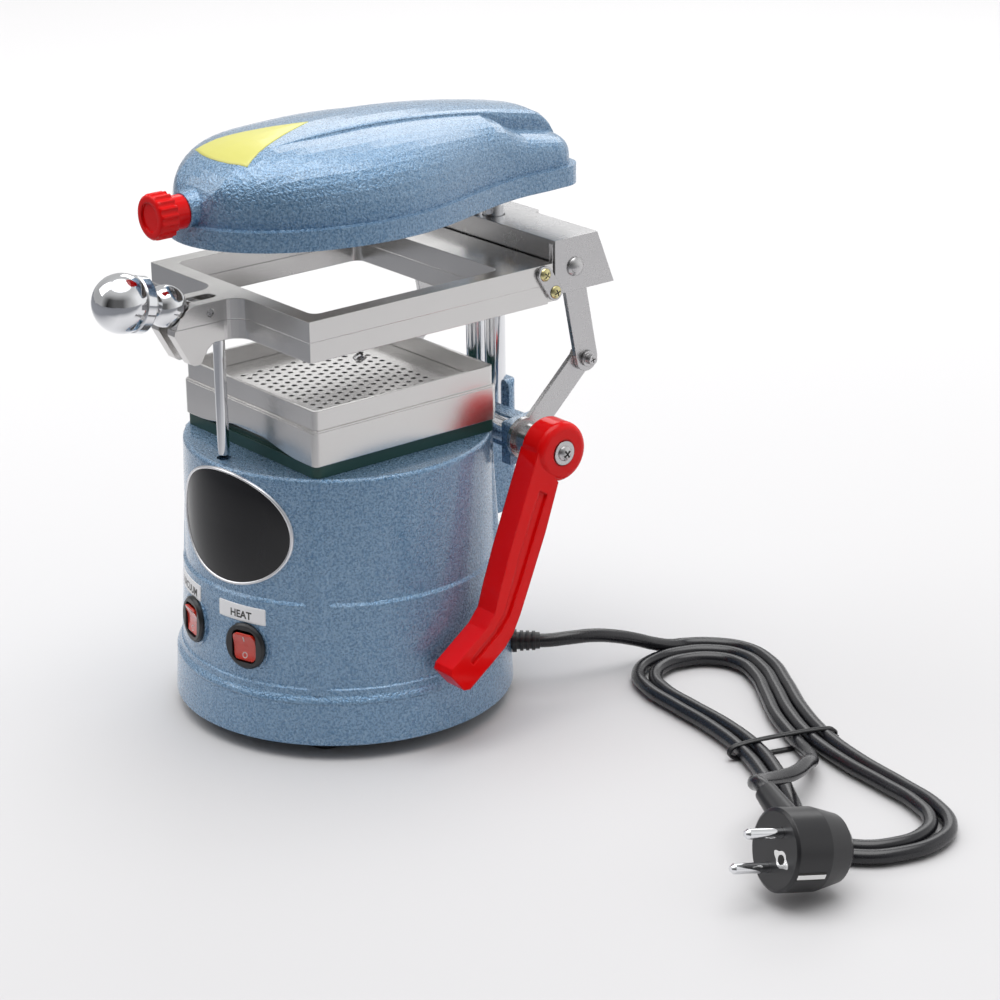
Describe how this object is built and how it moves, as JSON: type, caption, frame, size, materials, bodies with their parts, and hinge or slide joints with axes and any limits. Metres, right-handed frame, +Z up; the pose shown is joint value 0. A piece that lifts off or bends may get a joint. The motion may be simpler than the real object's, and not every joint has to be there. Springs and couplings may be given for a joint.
{
  "type": "dental vacuum former",
  "caption": "Tabletop dental vacuum former: a round blue housing with a perforated tray, a sliding sheet clamp with a ball-knob latch, a side lever and a swing-over heater head.",
  "frame": {"origin": "on the table, on the axis of the round housing", "axes": "+Z up, -Y towards the switches and the ball knob of the latch, +X towards the red lever"},
  "size_m": [0.4076, 0.3165, 0.296],
  "materials": {
    "hammer_blue": "hammertone enamel, steel blue with fine sparkle",
    "dark_steel": "dark coated steel",
    "black_rubber": "matt moulded rubber",
    "green_rubber": "dark green sheet rubber",
    "satin_nickel": "satin nickel plate",
    "plated_steel": "bright zinc plate",
    "chrome": "polished chrome plate",
    "yellow_zinc": "yellow passivated zinc",
    "brass": "turned bronze",
    "black_plastic": "moulded black plastic",
    "red_translucent": "clear red moulded rocker",
    "red_plastic": "glossy red plastic",
    "reflector_metal": "pressed bright aluminium",
    "element_metal": "oxidised sheath of a heating rod",
    "black_cord": "semi-gloss black PVC sheath"
  },
  "bodies": {
    "base": {"housing": "hammer_blue", "base_plate": "dark_steel", "rubber_feet": "black_rubber", "foot_screws": "plated_steel", "vacuum_motor": "dark_steel", "motor_seal": "black_rubber", "chamber_tray": "satin_nickel", "chamber_gasket": "green_rubber", "perforated_plate": "satin_nickel", "plate_screw": "plated_steel", "heat_switch_body": "black_plastic", "vacuum_switch_body": "black_plastic", "head_column": "chrome", "guide_column": "chrome", "strain_relief": "black_plastic", "power_cord": "black_cord", "cord_hank": "black_cord", "plug_lead": "black_cord", "cord_tie": "black_plastic", "plug_body": "black_plastic", "plug_pins": "chrome"},
    "heat_rocker": {"heat_rocker": "red_translucent"},
    "vacuum_rocker": {"vacuum_rocker": "red_translucent"},
    "lever": {"lever_shaft": "chrome", "crank_links": "plated_steel", "lever_spacer": "plated_steel", "lever_handle": "red_plastic", "lever_screw": "plated_steel", "link_pins": "plated_steel"},
    "upper_links": {"upper_links": "plated_steel"},
    "carriage": {"carriage": "plated_steel", "carriage_bushes": "brass", "carriage_pins": "plated_steel", "lower_frame": "satin_nickel", "guide_rod": "chrome", "hinge_screws": "yellow_zinc"},
    "upper_frame": {"upper_frame": "satin_nickel", "hinge_links": "plated_steel", "latch_pin": "plated_steel"},
    "latch": {"latch_bolt": "plated_steel", "latch_hub": "chrome"},
    "ball_knob": {"ball_knob": "chrome"},
    "head": {"head_casting": "hammer_blue", "head_bush": "brass", "heater_reflector": "reflector_metal", "heating_element": "element_metal", "reflector_screws": "plated_steel", "head_knob": "red_plastic"}
  },
  "joints": [
    {"name": "head_swing", "type": "hinge", "parent": "base", "child": "head", "pos_m": [0.0075, 0.0932, 0.25], "axis": [0, 0, 1], "range_deg": [-95, 95]},
    {"name": "lever_turn", "type": "hinge", "parent": "base", "child": "lever", "pos_m": [0, 0.06995, 0.1336], "axis": [1, 0, 0], "range_deg": [-41.87, 0]},
    {"name": "carriage_drop", "type": "slide", "parent": "base", "child": "carriage", "axis": [0, 0, 1], "range_m": [-0.03785, 0]},
    {"name": "link_turn", "type": "hinge", "parent": "lever", "child": "upper_links", "pos_m": [0, 0.10666, 0.16754], "axis": [1, 0, 0], "range_deg": [-0.01, 58.06]},
    {"name": "frame_lift", "type": "hinge", "parent": "carriage", "child": "upper_frame", "pos_m": [0, 0.0832, 0.2068], "axis": [-1, 0, 0], "range_deg": [0, 4]},
    {"name": "latch_swing", "type": "hinge", "parent": "upper_frame", "child": "latch", "pos_m": [0, -0.077, 0.2158], "axis": [-1, 0, 0], "range_deg": [0, 8]},
    {"name": "knob_spin", "type": "hinge", "parent": "latch", "child": "ball_knob", "pos_m": [0, -0.077, 0.2158], "axis": [0, -0.9681, 0.2504], "continuous": true},
    {"name": "heat_rock", "type": "hinge", "parent": "base", "child": "heat_rocker", "pos_m": [0.02403, -0.07394, 0.05294], "axis": [0.9511, 0.309, 0], "range_deg": [-14, 0]},
    {"name": "vacuum_rock", "type": "hinge", "parent": "base", "child": "vacuum_rocker", "pos_m": [-0.01549, -0.07613, 0.05444], "axis": [0.9799, -0.1994, 0], "range_deg": [-14, 0]}
  ],
  "couplings": [
    {"joint": "carriage_drop", "follows": "lever_turn", "m_per_rad": 0.05173},
    {"joint": "link_turn", "follows": "lever_turn", "ratio": -1.3862}
  ]
}
